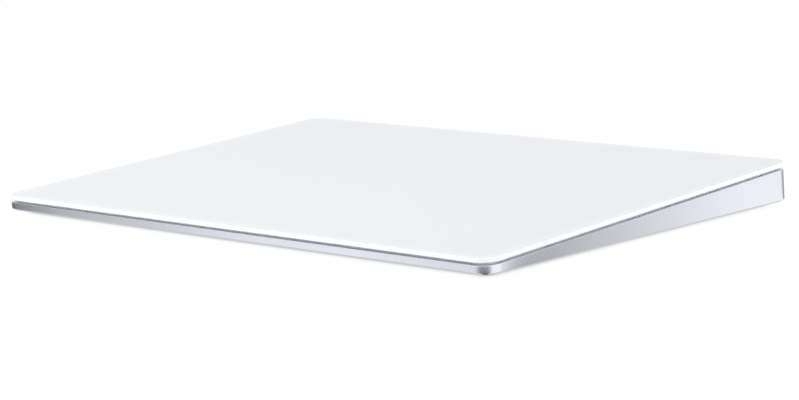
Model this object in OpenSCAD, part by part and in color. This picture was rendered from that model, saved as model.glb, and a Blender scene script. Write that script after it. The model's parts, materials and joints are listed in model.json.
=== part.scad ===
// Wedge-shaped wireless trackpad: a glass plate on leaf springs over a milled aluminium case.
// Millimetres, +X to the right, +Y to the thick rear edge, +Z up, z = 0 on the desk.
// Heights marked as levels run down from the top of the glass, square to it.

/* [Overall] */
// Width of the case and the glass
body_w = 160; // [150:1:176]
// Depth from the front edge of the glass to the foot of the rear wall
body_d = 114.9; // [112:0.1:125]
// Height of the front edge of the glass above the desk
front_h = 4.9; // [4.8:0.1:5.6]
// Height of the rear edge of the glass above the desk
back_h = 10.9; // [10.6:0.1:12]
// Radius of the upright corners
corner_r = 4.5; // [3:0.1:8]

/* [Glass] */
// Thickness of the glass
glass_t = 1.1; // [0.9:0.05:1.2]
// Small chamfer along the edges of the glass
glass_edge = 0.15; // [0.05:0.05:0.3]
// Air slot between the glass and the rim of the case
slot_h = 0.6; // [0.45:0.05:0.8]

/* [Case] */
// Thickness of the side walls
wall_t = 1.8; // [1.4:0.1:2.2]
// Thickness of the floor
floor_t = 0.5; // [0.4:0.05:0.6]
// Height of the underside of the case above the desk
foot_h = 1.2; // [1:0.05:1.3]
// Chamfer along the lower edge of the case
lower_edge = 0.45; // [0.2:0.05:0.6]

/* [Feet] */
// Diameter of a rubber foot
foot_dia = 10; // [7:0.5:13]
// Distance from the side and end walls to the middle of a foot
foot_inset = 14; // [11:0.5:20]
// Depth of the seat that each foot is glued into
foot_seat = 0.2; // [0.15:0.05:0.25]
// Chamfer round the lower edge of a foot
foot_edge = 0.3; // [0.1:0.05:0.5]

/* [Touch stack] */
// Thickness of the film that bonds the glass
film_t = 0.1; // [0.05:0.05:0.15]
// Thickness of the touch sensor board
sensor_t = 0.5; // [0.4:0.05:0.6]
// Thickness of the steel stiffener
stiffener_t = 0.4; // [0.3:0.05:0.5]
// Clear space between the touch stack and the case walls
stack_clear = 0.7; // [0.5:0.1:1]
// Width of the stiffener's side bands
band_w = 7; // [5:0.5:9]
// Width of the stiffener's middle rib
rib_w = 24; // [20:1:30]
// Side of the touch controller chip
touch_chip = 10; // [7:0.5:12]

/* [Suspension] */
// Thickness of the gel pads
gel_t = 0.5; // [0.45:0.05:0.6]
// Diameter of the gel pads
gel_dia = 6; // [4:0.5:7]
// Thickness of the leaf springs
leaf_t = 0.35; // [0.25:0.05:0.4]
// Width of a leaf spring's arm
leaf_w = 5; // [3.5:0.5:6]
// Reach of a leaf spring from its clamped base to its tip
leaf_reach = 12; // [9:0.5:14]
// Length of a leaf spring's clamped base
base_l = 10; // [8:0.5:11]
// Width of a leaf spring's clamped base
base_w = 8; // [7:0.5:9]
// Length of a strain gauge
gauge_l = 4; // [3:0.5:6]
// Width of a strain gauge
gauge_w = 2.6; // [1.5:0.1:3]

/* [Screws] */
// Diameter of the screws
screw_dia = 1.2; // [1:0.1:1.4]
// Diameter of the screw heads
head_dia = 2.3; // [2:0.1:2.6]
// Height of the screw heads
head_h = 0.35; // [0.25:0.05:0.4]
// Length of the screws under the head
screw_l = 1; // [0.9:0.05:1.1]
// Room round a screw in its hole
screw_clear = 0.05; // [0.03:0.01:0.1]

/* [Haptic engine] */
// Width of the coil
coil_w = 24; // [20:0.5:26]
// Depth of the coil
coil_d = 22; // [18:0.5:24]
// Height of the coil
coil_h = 0.75; // [0.6:0.05:1]
// Width of the winding
winding_w = 7; // [5:0.5:8]
// Thickness of the steel plate under the coil
yoke_t = 0.35; // [0.3:0.05:0.5]
// Thickness of the magnets
magnet_t = 0.6; // [0.5:0.05:0.8]
// Thickness of the steel plate that carries the magnets
back_iron_t = 0.3; // [0.25:0.05:0.4]
// Length of the magnets
magnet_l = 20; // [16:0.5:21]
// Air gap between the magnets and the coil
air_gap = 0.4; // [0.35:0.05:0.5]
// Rim of the steel plate beside the coil, for its screws
yoke_rim = 4; // [3:0.5:5]

/* [Battery] */
// Width of the battery cell
cell_w = 116; // [100:1:118]
// Depth of the battery cell
cell_d = 36; // [30:0.5:37]
// Height of the battery cell
cell_h = 3.8; // [3.2:0.1:4]
// Thickness of the adhesive strips under the cell
cell_glue_t = 0.1; // [0.05:0.05:0.15]

/* [Boards] */
// Depth of the logic board
logic_d = 36; // [34:0.5:37]
// Thickness of the circuit boards
board_t = 0.8; // [0.6:0.1:1]
// Height of the logic board above the floor
logic_lift = 0.5; // [0.4:0.05:0.6]
// Height of the rear board above the floor
rear_lift = 0.8; // [0.6:0.1:1]
// Height of the board sockets
socket_h = 0.8; // [0.6:0.1:0.9]
// Thickness of the flat cables
flex_t = 0.15; // [0.1:0.05:0.2]
// Width of the flat cable from the sensor board
pad_flex_w = 7; // [5:0.5:8]
// Width of the flat cables from the battery and the rear board
small_flex_w = 4.6; // [3:0.2:6]
// Width of the radio's shield
shield_w = 13; // [10:0.5:15]
// Depth of the radio's shield
shield_d = 11; // [9:0.5:12]
// Height of the radio's shield
shield_h = 1.15; // [1:0.05:1.2]
// Side of the processor chip
processor_side = 9; // [6:0.5:10]
// Side of the charger chip
charger_side = 5; // [3:0.5:6]
// Side of the radio chip
radio_side = 6; // [4:0.5:7]
// Depth of the battery's protection board
guard_d = 4; // [3.5:0.1:4.5]
// Width of the battery's protection board
guard_w = 36; // [30:1:40]

/* [Rear edge] */
// Depth of the rear board
rear_board_d = 8.5; // [8:0.1:9]
// Width of the charging port
port_w = 8.9; // [8.5:0.1:9.4]
// Height of the charging port
port_h = 3.2; // [3:0.1:3.4]
// Length of the charging port
port_l = 7; // [6.5:0.1:7.5]
// Thickness of the port's shell
port_wall = 0.3; // [0.2:0.05:0.35]
// Middle of the power switch, from the middle of the rear edge
switch_x = -34; // [-40:0.5:-26]
// Width of the switch knob
knob_w = 4.4; // [3.6:0.1:5]
// Height of the switch knob
knob_h = 2.2; // [1.8:0.1:2.4]
// Travel of the switch knob
switch_travel = 2.4; // [1.6:0.1:2.6]

/* [Hidden] */
$fn = 64;

// Small overlap where shapes of one piece are joined or cut
bite = 0.3;
// Distance past which cutting shapes reach
beyond = 20;

// Lower edge of the walls, slope of the glass and length of the glass along it
edge_z = foot_h + lower_edge;
rise = back_h - front_h;
run = (body_d + sqrt(body_d * body_d - 4 * (back_h - edge_z) * rise)) / 2;
slope = atan(rise / run);
glass_d = run / cos(slope);
front_y = -body_d / 2;
floor_z = foot_h + floor_t;

// Levels below the top of the glass
rim_w = -glass_t - slot_h;
film_w = -glass_t - film_t;
sensor_w = film_w - sensor_t;
stiffener_w = sensor_w - stiffener_t;
leaf_top_w = stiffener_w - gel_t;
leaf_w_under = leaf_top_w - leaf_t;
iron_w = stiffener_w - back_iron_t;
magnet_w = iron_w - magnet_t;
coil_top_w = magnet_w - air_gap;
yoke_top_w = coil_top_w - coil_h;
yoke_w = yoke_top_w - yoke_t;
stack_inset = wall_t + stack_clear;
stiffener_lip = 0.5;
stiffener_inset = stack_inset + stiffener_lip;
stack_r = corner_r / 2;
chip_h = 0.8;
// Space between the windows of the stiffener and its side bands
window_gap = 6;
// Middle of the touch controller from the middle of the glass and from its front edge
touch_chip_at = [37, 78];

// Leaf springs: middle of the base from the side wall and from the ends, and reach of the tip
base_gap = 1;
base_x = body_w / 2 - wall_t - base_gap - base_l / 2;
base_v = [wall_t + base_gap + base_w / 2, glass_d - wall_t - base_gap - base_w / 2];
tip_x = base_x - base_l / 2 - leaf_reach;
tip_rim = 0.5;
tip_dia = gel_dia + 2 * tip_rim;
leaf_hole_share = 0.58;
leaf_hole_pitch = base_w * leaf_hole_share;
boss_dia = screw_dia + 2.8;
hole_inset = 2.2;

// Rear board, and the battery in front of it
rear_gap = 0.7;
rear_end_gaps = [16, 34];
rear_board_x = [-body_w / 2 + rear_end_gaps[0], body_w / 2 - rear_end_gaps[1]];
rear_board_y = [body_d / 2 - wall_t - rear_gap - rear_board_d, body_d / 2 - wall_t - rear_gap];
rear_board_z = floor_z + rear_lift;
rear_top_z = rear_board_z + board_t;
cell_gap = 1;
cell_y = [rear_board_y[0] - cell_gap - cell_d, rear_board_y[0] - cell_gap];
cell_z = floor_z + cell_glue_t;
cell_top_z = cell_z + cell_h;
guard_gap = 0.3;
guard_t = 1;
guard_x = [-cell_w / 2, -cell_w / 2 + guard_w];
guard_y = [cell_y[0] - guard_gap - guard_d, cell_y[0] - guard_gap];
guard_top_z = floor_z + guard_t;

// Haptic engine in front of the battery
engine_gap = 2.9;
yoke_size = [coil_w + 2 * yoke_rim, coil_d + yoke_rim];
engine_v = (cell_y[0] - front_y) / cos(slope) - engine_gap - yoke_size[1] / 2;
yoke_hole_inset = yoke_rim / 2;
yoke_holes = [for (sx = [-1, 1]) for (sy = [-1, 1])
              [sx * (yoke_size[0] / 2 - yoke_hole_inset),
               engine_v + sy * (yoke_size[1] / 2 - yoke_hole_inset)]];

// Logic board between the left wall and the engine, in front of the battery
logic_side_gap = 4.2;
logic_engine_gap = 4;
logic_rear_gap = 2.2;
logic_x = [-body_w / 2 + wall_t + logic_side_gap, -yoke_size[0] / 2 - logic_engine_gap];
logic_y = [guard_y[0] - logic_rear_gap - logic_d, guard_y[0] - logic_rear_gap];
logic_z = floor_z + logic_lift;
logic_top_z = logic_z + board_t;
logic_holes = [for (x = [logic_x[0] + hole_inset, logic_x[1] - hole_inset])
               for (y = [logic_y[0] + hole_inset, logic_y[1] - hole_inset]) [x, y]];
// Middles of the chips, from the board's front edge and from its nearer side
processor_gap = [11, 23];
charger_gap = [10, 11];
radio_gap = [10, 19];
processor_at = [logic_x[1] - processor_gap[0], logic_y[0] + processor_gap[1]];
charger_at = [logic_x[1] - charger_gap[0], logic_y[0] + charger_gap[1]];
radio_at = [logic_x[0] + radio_gap[0], logic_y[0] + radio_gap[1]];

// Sockets on the logic board: middle and width, their depth and the rim beside a cable
socket_d = 3;
socket_rim = 0.5;
socket_rear_gap = 4.2;
pad_socket_gap = [27, 14];
battery_cable_gap = 14;
cable_pitch = 12;
pad_socket = [logic_x[0] + pad_socket_gap[0], logic_y[0] + pad_socket_gap[1]];
battery_socket = [guard_x[1] - battery_cable_gap, logic_y[1] - socket_rear_gap];
rear_socket = [battery_socket[0] - cable_pitch, battery_socket[1]];
socket_top_z = logic_top_z + socket_h;
sockets = [[pad_socket, pad_flex_w], [rear_socket, small_flex_w], [battery_socket, small_flex_w]];
// Where a cable leaves its socket, and where the pad's cable meets the sensor board along the glass
cable_end = 0.4;
pad_flex_run = [9.4, 13.4];
pad_flex_v = [for (r = pad_flex_run) (pad_socket[1] + r - front_y) / cos(slope)];
// Cross rib of the stiffener, behind that cable
cross_rib_gap = 0.8;
cross_rib_w = 8;
cross_rib_v = pad_flex_v[1] + cross_rib_gap;

// Antenna and screws on the rear board
antenna_size = [16, 3, 2.4];
antenna_gap = [6, 1];
antenna_at = [rear_board_x[1] - antenna_gap[0] - antenna_size[0],
              rear_board_y[1] - antenna_gap[1] - antenna_size[1]];
rear_hole_gap = 5.5;
rear_hole_end = 12;
rear_holes = [for (x = [rear_board_x[0] + rear_hole_end, -port_w / 2 - rear_hole_gap,
                        port_w / 2 + rear_hole_gap, rear_board_x[1] - hole_inset])
              [x, rear_board_y[0] + hole_inset]];

// Charging port and switch
rear_mid_z = rear_top_z + port_h / 2;
mouth_recess = 0.45;
port_mouth_y = body_d / 2 - (rear_mid_z + port_h / 2 - edge_z) * tan(slope) - mouth_recess;
port_room = 0.15;
tongue_w = 6.7;
tongue_t = 0.7;
tongue_recess = 0.6;
plug_d = 1.8;
contact_count = 6;
contact_w = 0.5;
contact_l = 3.4;
contact_t = 0.05;
inner_wall_y = body_d / 2 - wall_t / cos(slope) - (rear_mid_z - edge_z) * tan(slope);
switch_size = [10, 4, port_h];
switch_gap = 0.8;
flag_t = 0.2;
knob_room = 0.3;
knob_proud = 0.15;
stem = 1;
stem_l = 1.6;
stem_room = 0.2;
knob_rest_x = switch_x - switch_travel / 2;
switch_face_y = inner_wall_y - switch_gap;

// Height and depth in the desk frame of a point along the glass at a level
function pad_z(v, w) = front_h + v * sin(slope) + w * cos(slope);
function pad_y(v, w) = front_y + v * cos(slope) - w * sin(slope);
// Level of a height in the desk frame, at a place along the glass
function level_at(v, z) = (z - front_h - v * sin(slope)) / cos(slope);

// Frame of the glass: x across, y along the slope from the front edge, z square to the glass
module pad_frame() {
  translate([0, front_y, front_h])
    rotate([slope, 0, 0])
      children();
}

// Flat rectangle with round corners, about its middle
module round_rect(w, d, r) {
  square([w - 2 * r, d], center = true);
  square([w, d - 2 * r], center = true);
  for (sx = [-1, 1])
    for (sy = [-1, 1])
      translate([sx * (w / 2 - r), sy * (d / 2 - r)])
        circle(r);
}

// Flat slot with half round ends, about its middle
module stadium(w, h) {
  square([w - h, h], center = true);
  for (sx = [-1, 1])
    translate([sx * (w - h) / 2, 0])
      circle(h / 2);
}

// Plate parallel to the glass, inset from its outline, between two levels
module stack_plate(inset, r, low, high) {
  pad_frame()
    translate([0, glass_d / 2, low])
      linear_extrude(high - low)
        round_rect(body_w - 2 * inset, glass_d - 2 * inset, r);
}

// Slab with its four sides at 45 degrees, wider by grow at the top than at the bottom
module flared_slab(w, d, r, grow) {
  for (sx = [-1, 1])
    for (sy = [-1, 1])
      translate([sx * (w / 2 - r), sy * (d / 2 - r), 0])
        cylinder(h = grow, r1 = r, r2 = r + grow);
  translate([0, d / 2 - r, 0])
    rotate([90, 0, 0])
      linear_extrude(d - 2 * r)
        polygon([[-w / 2, 0], [w / 2, 0], [w / 2 + grow, grow], [-w / 2 - grow, grow]]);
  translate([-w / 2 + r, 0, 0])
    rotate([90, 0, 90])
      linear_extrude(w - 2 * r)
        polygon([[-d / 2, 0], [d / 2, 0], [d / 2 + grow, grow], [-d / 2 - grow, grow]]);
}

// Flat strip that follows points in the YZ plane, its upper side on the points
module strip(x, w, points) {
  lower = [for (i = [len(points) - 1:-1:0]) points[i] - [0, flex_t]];
  translate([x - w / 2, 0, 0])
    rotate([90, 0, 90])
      linear_extrude(w)
        polygon(concat(points, lower));
}

// Pan head screw, its head seated on z = 0
module screw() {
  cylinder(h = head_h, d = head_dia);
  translate([0, 0, -screw_l])
    cylinder(h = screw_l + bite / 2, d = screw_dia);
}

// Hole for a screw, from above its seat to just past its tip
module screw_hole() {
  translate([0, 0, -screw_l - screw_clear])
    cylinder(h = screw_l + beyond, d = screw_dia + 2 * screw_clear);
}

// Places children at the clamped base of each leaf spring
module at_bases() {
  for (sx = [-1, 1])
    for (end = [0, 1])
      pad_frame()
        translate([sx * base_x, base_v[end], 0])
          children();
}

// Places children at the two screws of each leaf spring
module at_leaf_screws(level) {
  for (sv = [-1, 1])
    at_bases()
      translate([0, sv * leaf_hole_pitch / 2, level])
        children();
}

// Outside of the case: upright walls square to the glass, and a chamfered lower edge
module case_outside() {
  lean = (front_h - edge_z) * tan(slope);
  lower_d = body_d - lean;
  intersection() {
    stack_plate(0, corner_r, -back_h - bite, rim_w);
    translate([0, lean / 2, foot_h])
      flared_slab(body_w - 2 * lower_edge, lower_d - 2 * lower_edge, corner_r - lower_edge, back_h);
  }
}

// Hollow of the case above its floor
module case_hollow() {
  intersection() {
    stack_plate(wall_t, corner_r - wall_t, -back_h - bite, beyond);
    translate([-body_w, -body_d, floor_z])
      cube([2 * body_w, 2 * body_d, beyond]);
  }
}

// Raised seats inside the case for the springs, the boards and the haptic engine
module case_bosses() {
  for (sx = [-1, 1])
    for (v = base_v)
      pad_frame()
        translate([sx * base_x - base_l / 2, v - base_w / 2, level_at(v, floor_z) - bite])
          cube([base_l, base_w, leaf_w_under - level_at(v, floor_z) + bite]);
  for (p = logic_holes)
    translate([p[0], p[1], floor_z - bite])
      cylinder(h = logic_lift + bite, d = boss_dia);
  for (p = rear_holes)
    translate([p[0], p[1], floor_z - bite])
      cylinder(h = rear_lift + bite, d = boss_dia);
  for (p = yoke_holes)
    pad_frame()
      translate([p[0], p[1], level_at(p[1], floor_z) - bite])
        cylinder(h = yoke_w - level_at(p[1], floor_z) + bite, d = boss_dia);
}

// Openings in the rear wall for the charging port and the switch knob
module rear_openings() {
  for (hole = [[0, port_w + 2 * port_room, port_h + 2 * port_room],
               [switch_x, knob_w + switch_travel + 2 * knob_room, knob_h + 2 * knob_room]])
    translate([hole[0], inner_wall_y - bite - wall_t / 2, rear_mid_z])
      rotate([-90, 0, 0])
        linear_extrude(beyond)
          stadium(hole[1], hole[2]);
}

// Places children on the middle of one foot
module at_foot(side, end) {
  translate([side * (body_w / 2 - foot_inset), (end == 0 ? -1 : 1) * (body_d / 2 - foot_inset), 0])
    children();
}

module bottom_case() {
  color([0.80, 0.81, 0.83])
    difference() {
      union() {
        difference() {
          case_outside();
          case_hollow();
        }
        case_bosses();
      }
      at_leaf_screws(leaf_top_w)
        screw_hole();
      for (p = logic_holes)
        translate([p[0], p[1], logic_top_z])
          screw_hole();
      for (p = rear_holes)
        translate([p[0], p[1], rear_top_z])
          screw_hole();
      for (p = yoke_holes)
        pad_frame()
          translate([p[0], p[1], yoke_top_w])
            screw_hole();
      rear_openings();
      for (side = [-1, 1])
        for (end = [0, 1])
          at_foot(side, end)
            cylinder(h = foot_h + foot_seat, d = foot_dia + 2 * screw_clear);
    }
}

// Rubber foot, glued into a shallow seat
module foot(side, end) {
  r = foot_dia / 2;
  h = foot_h + foot_seat;
  color([0.55, 0.56, 0.58])
    at_foot(side, end)
      rotate_extrude()
        polygon([[0, 0], [r - foot_edge, 0], [r, foot_edge], [r, h], [0, h]]);
}
module foot_front_left() { foot(-1, 0); }
module foot_front_right() { foot(1, 0); }
module foot_rear_left() { foot(-1, 1); }
module foot_rear_right() { foot(1, 1); }

// Glass with a small chamfer round its upper and lower edges
module glass_plate() {
  color([0.94, 0.945, 0.96])
    pad_frame()
      translate([0, glass_d / 2, -glass_t]) {
        w = body_w - 2 * glass_edge;
        d = glass_d - 2 * glass_edge;
        r = corner_r - glass_edge;
        flared_slab(w, d, r, glass_edge);
        translate([0, 0, glass_edge])
          linear_extrude(glass_t - 2 * glass_edge)
            round_rect(body_w, glass_d, corner_r);
        translate([0, 0, glass_t])
          mirror([0, 0, 1])
            flared_slab(w, d, r, glass_edge);
      }
}

module glass_film() {
  color([0.85, 0.85, 0.80])
    stack_plate(stack_inset, stack_r, film_w, -glass_t);
}

module touch_sensor_board() {
  color([0.10, 0.35, 0.20])
    stack_plate(stack_inset, stack_r, sensor_w, film_w);
}

module touch_controller() {
  color([0.12, 0.12, 0.13])
    pad_frame()
      translate([touch_chip_at[0] - touch_chip / 2, touch_chip_at[1] - touch_chip / 2, sensor_w - chip_h])
        cube([touch_chip, touch_chip, chip_h]);
}

// Steel frame under the sensor board, open over the battery, the boards and the screw heads
module pad_stiffener() {
  notch = [body_w / 2 - base_x + base_l / 2 + stiffener_lip, base_v[0] + base_w / 2 + stiffener_lip];
  window_x = [rib_w / 2, body_w / 2 - stiffener_inset - band_w - window_gap];
  window_v = [[base_v[0] + tip_dia, cross_rib_v], [cross_rib_v + cross_rib_w, base_v[1] - tip_dia]];
  color([0.42, 0.43, 0.45])
    pad_frame()
      translate([0, 0, stiffener_w])
        linear_extrude(stiffener_t)
          difference() {
            translate([0, glass_d / 2])
              round_rect(body_w - 2 * stiffener_inset, glass_d - 2 * stiffener_inset, stack_r);
            for (sx = [-1, 1])
              for (end = [0, glass_d])
                translate([sx * body_w / 2, end])
                  square(2 * notch, center = true);
            for (sx = [-1, 1])
              for (v = window_v)
                translate([sx * (window_x[0] + window_x[1]) / 2, (v[0] + v[1]) / 2])
                  round_rect(window_x[1] - window_x[0], v[1] - v[0], stack_r);
          }
}

// Steel plate that holds the magnets against the stiffener
module magnet_carrier() {
  color([0.50, 0.51, 0.53])
    pad_frame()
      translate([-coil_w / 2, engine_v - coil_d / 2, iron_w])
        cube([coil_w, coil_d, back_iron_t]);
}

// Two bar magnets, one over each long run of the winding
module haptic_magnets() {
  color([0.62, 0.63, 0.66])
    for (sx = [-1, 1])
      pad_frame()
        translate([sx * (coil_w - winding_w) / 2 - winding_w / 2, engine_v - magnet_l / 2, magnet_w])
          cube([winding_w, magnet_l, magnet_t]);
}

// Soft disc between a leaf's tip and the stiffener, which lets the pad shift sideways
module gel(side, end) {
  color([0.75, 0.80, 0.85])
    pad_frame()
      translate([side * tip_x, base_v[end], leaf_top_w])
        cylinder(h = gel_t, d = gel_dia);
}
module gel_front_left() { gel(-1, 0); }
module gel_front_right() { gel(1, 0); }
module gel_rear_left() { gel(-1, 1); }
module gel_rear_right() { gel(1, 1); }

// Flat steel leaf spring: clamped base with two holes, arm, and round tip
module leaf(side, end) {
  color([0.66, 0.67, 0.70])
    pad_frame()
      translate([side * base_x, base_v[end], leaf_w_under])
        linear_extrude(leaf_t)
          difference() {
            union() {
              square([base_l, base_w], center = true);
              translate([-side * (base_l / 2 + leaf_reach / 2 - bite / 2), 0])
                square([leaf_reach + bite, leaf_w], center = true);
              translate([-side * (base_l / 2 + leaf_reach), 0])
                circle(tip_dia / 2);
            }
            for (sv = [-1, 1])
              translate([0, sv * leaf_hole_pitch / 2])
                circle(screw_dia / 2 + screw_clear);
          }
}
module leaf_front_left() { leaf(-1, 0); }
module leaf_front_right() { leaf(1, 0); }
module leaf_rear_left() { leaf(-1, 1); }
module leaf_rear_right() { leaf(1, 1); }

// Film gauge bonded to the arm of a leaf spring
module gauge(side, end) {
  gauge_t = 0.1;
  color([0.80, 0.55, 0.20])
    pad_frame()
      translate([side * (base_x - base_l / 2 - leaf_reach * 0.35), base_v[end], leaf_top_w])
        linear_extrude(gauge_t)
          square([gauge_l, gauge_w], center = true);
}
module gauge_front_left() { gauge(-1, 0); }
module gauge_front_right() { gauge(1, 0); }
module gauge_rear_left() { gauge(-1, 1); }
module gauge_rear_right() { gauge(1, 1); }

module leaf_screws() {
  color([0.35, 0.35, 0.37])
    at_leaf_screws(leaf_top_w)
      screw();
}

// Steel plate under the coil, screwed to seats parallel to the glass
module haptic_yoke() {
  color([0.55, 0.56, 0.58])
    pad_frame()
      translate([0, 0, yoke_w])
        linear_extrude(yoke_t)
          difference() {
            translate([0, engine_v])
              round_rect(yoke_size[0], yoke_size[1], 1);
            for (p = yoke_holes)
              translate(p)
                circle(screw_dia / 2 + screw_clear);
          }
}

// Flat racetrack winding, glued to the yoke
module haptic_coil() {
  color([0.72, 0.42, 0.20])
    pad_frame()
      translate([0, engine_v, yoke_top_w])
        linear_extrude(coil_h)
          difference() {
            round_rect(coil_w, coil_d, winding_w * 0.8);
            round_rect(coil_w - 2 * winding_w, coil_d - 2 * winding_w, 1);
          }
}

module haptic_screws() {
  color([0.35, 0.35, 0.37])
    for (p = yoke_holes)
      pad_frame()
        translate([p[0], p[1], yoke_top_w])
          screw();
}

module battery_cell() {
  color([0.18, 0.19, 0.21])
    translate([0, (cell_y[0] + cell_y[1]) / 2, cell_z])
      linear_extrude(cell_h)
        round_rect(cell_w, cell_d, 2);
}

// Two strips of adhesive that hold the cell to the floor
module battery_glue() {
  strip_d = 8;
  color([0.90, 0.88, 0.80])
    for (t = [0.25, 0.75])
      translate([-cell_w * 0.45, cell_y[0] + cell_d * t - strip_d / 2, floor_z])
        cube([cell_w * 0.9, strip_d, cell_glue_t]);
}

// Protection board along the front of the cell
module battery_board() {
  color([0.12, 0.30, 0.16])
    translate([guard_x[0], guard_y[0], floor_z])
      cube([guard_w, guard_d, guard_t]);
}

// Nickel tabs from the cell to its protection board
module battery_tabs() {
  tab_w = 4;
  tab_t = 0.15;
  tab_rise = 1.3;
  tab_foot = 2.2;
  tab_end = 4;
  color([0.75, 0.74, 0.70])
    for (x = [guard_x[0] + tab_end, guard_x[1] - tab_end])
      translate([x - tab_w / 2, 0, 0])
        rotate([90, 0, 90])
          linear_extrude(tab_w)
            polygon([
              [guard_y[1] - tab_foot, guard_top_z],
              [cell_y[0], guard_top_z],
              [cell_y[0], guard_top_z + tab_rise],
              [cell_y[0] - tab_t, guard_top_z + tab_rise],
              [cell_y[0] - tab_t, guard_top_z + tab_t],
              [guard_y[1] - tab_foot, guard_top_z + tab_t],
            ]);
}

// Flat cable from the protection board up to its socket
module battery_flex() {
  top = socket_top_z + flex_t;
  color([0.85, 0.50, 0.12])
    strip(battery_socket[0], small_flex_w, [
      [guard_y[1] - cable_end, guard_top_z + flex_t],
      [guard_y[0], guard_top_z + flex_t],
      [battery_socket[1] + socket_d / 2 + cable_end, top],
      [battery_socket[1] - socket_d / 2 + cable_end, top],
    ]);
}

module logic_board() {
  color([0.10, 0.32, 0.18])
    translate([0, 0, logic_z])
      linear_extrude(board_t)
        difference() {
          translate([logic_x[0], logic_y[0]])
            square([logic_x[1] - logic_x[0], logic_d]);
          for (p = logic_holes)
            translate(p)
              circle(screw_dia / 2 + screw_clear);
        }
}

module logic_screws() {
  color([0.35, 0.35, 0.37])
    for (p = logic_holes)
      translate([p[0], p[1], logic_top_z])
        screw();
}

// Square chip seated on the logic board
module logic_chip(at, side) {
  color([0.12, 0.12, 0.13])
    translate([at[0] - side / 2, at[1] - side / 2, logic_top_z])
      cube([side, side, chip_h]);
}
module processor_chip() { logic_chip(processor_at, processor_side); }
module charger_chip() { logic_chip(charger_at, charger_side); }
module radio_chip() { logic_chip(radio_at, radio_side); }

// Pressed steel lid over the radio chip, open underneath
module radio_shield() {
  sheet = 0.15;
  bend_r = 0.6;
  color([0.75, 0.76, 0.78])
    translate([radio_at[0], radio_at[1], logic_top_z])
      difference() {
        linear_extrude(shield_h)
          round_rect(shield_w, shield_d, bend_r);
        translate([0, 0, -bite])
          linear_extrude(shield_h - sheet + bite)
            round_rect(shield_w - 2 * sheet, shield_d - 2 * sheet, bend_r - sheet);
      }
}

// Low sockets that the flat cables press into
module board_sockets() {
  color([0.85, 0.83, 0.76])
    for (s = sockets)
      translate([s[0][0] - s[1] / 2 - socket_rim, s[0][1] - socket_d / 2, logic_top_z])
        cube([s[1] + 2 * socket_rim, socket_d, socket_h]);
}

// Flat cable from the underside of the sensor board down to the logic board
module pad_flex() {
  top = socket_top_z + flex_t;
  color([0.85, 0.50, 0.12])
    strip(pad_socket[0], pad_flex_w, [
      [pad_y(pad_flex_v[1], sensor_w), pad_z(pad_flex_v[1], sensor_w)],
      [pad_y(pad_flex_v[0], sensor_w), pad_z(pad_flex_v[0], sensor_w)],
      [pad_socket[1] + socket_d / 2 + cable_end, top],
      [pad_socket[1] - socket_d / 2 + cable_end, top],
    ]);
}

// Flat cable from the rear board, over the battery, to the logic board
module rear_flex() {
  top = socket_top_z + flex_t;
  foot_run = [4.4, 6.4];
  color([0.85, 0.50, 0.12])
    strip(rear_socket[0], small_flex_w, [
      [rear_board_y[0] + foot_run[1], rear_top_z + flex_t],
      [rear_board_y[0] + foot_run[0], rear_top_z + flex_t],
      [cell_y[1], cell_top_z + flex_t],
      [cell_y[0], cell_top_z + flex_t],
      [rear_socket[1] + socket_d / 2 + cable_end, top],
      [rear_socket[1] - socket_d / 2 + cable_end, top],
    ]);
}

// Long narrow board behind the battery with the port, the switch and the antenna
module rear_board() {
  color([0.10, 0.32, 0.18])
    translate([0, 0, rear_board_z])
      linear_extrude(board_t)
        difference() {
          translate([rear_board_x[0], rear_board_y[0]])
            square([rear_board_x[1] - rear_board_x[0], rear_board_y[1] - rear_board_y[0]]);
          for (p = rear_holes)
            translate(p)
              circle(screw_dia / 2 + screw_clear);
        }
}

module rear_screws() {
  color([0.35, 0.35, 0.37])
    for (p = rear_holes)
      translate([p[0], p[1], rear_top_z])
        screw();
}

// Places children on the axis of the charging port, z running inwards from its mouth
module port_axis() {
  translate([0, port_mouth_y, rear_mid_z])
    rotate([90, 0, 0])
      children();
}

module port_shell() {
  color([0.70, 0.71, 0.73])
    port_axis()
      linear_extrude(port_l)
        difference() {
          stadium(port_w, port_h);
          stadium(port_w - 2 * port_wall, port_h - 2 * port_wall);
        }
}

// Insulating plug at the back of the shell, with the tongue that a cable's plug goes over
module port_tongue() {
  fit = 0.02;
  color([0.10, 0.10, 0.11])
    port_axis() {
      translate([0, 0, port_l - plug_d])
        linear_extrude(plug_d)
          stadium(port_w - 2 * port_wall - 2 * fit, port_h - 2 * port_wall - 2 * fit);
      translate([-tongue_w / 2, -tongue_t / 2, tongue_recess])
        cube([tongue_w, tongue_t, port_l - tongue_recess - plug_d / 2]);
    }
}

// Contact strips on both faces of the tongue
module port_contacts() {
  pitch = tongue_w / contact_count;
  color([0.85, 0.68, 0.28])
    for (face = [tongue_t / 2, -tongue_t / 2 - contact_t])
      for (i = [0:contact_count - 1])
        port_axis()
          translate([(i + 0.5) * pitch - tongue_w / 2 - contact_w / 2, face, tongue_recess + 0.5])
            cube([contact_w, contact_t, contact_l]);
}

// Ceramic antenna block on the rear board
module antenna() {
  color([0.82, 0.82, 0.78])
    translate([antenna_at[0], antenna_at[1], rear_top_z])
      cube(antenna_size);
}

// Switch housing with a slot for the stem of the knob
module switch_body() {
  slot = [stem + switch_travel + 2 * stem_room, stem_l + stem_room, stem + 2 * stem_room];
  color([0.15, 0.15, 0.16])
    difference() {
      translate([switch_x - switch_size[0] / 2, switch_face_y - switch_size[1], rear_top_z])
        cube(switch_size);
      translate([switch_x - slot[0] / 2, switch_face_y - slot[1], rear_mid_z - slot[2] / 2])
        cube([slot[0], slot[1] + bite, slot[2]]);
    }
}

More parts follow.
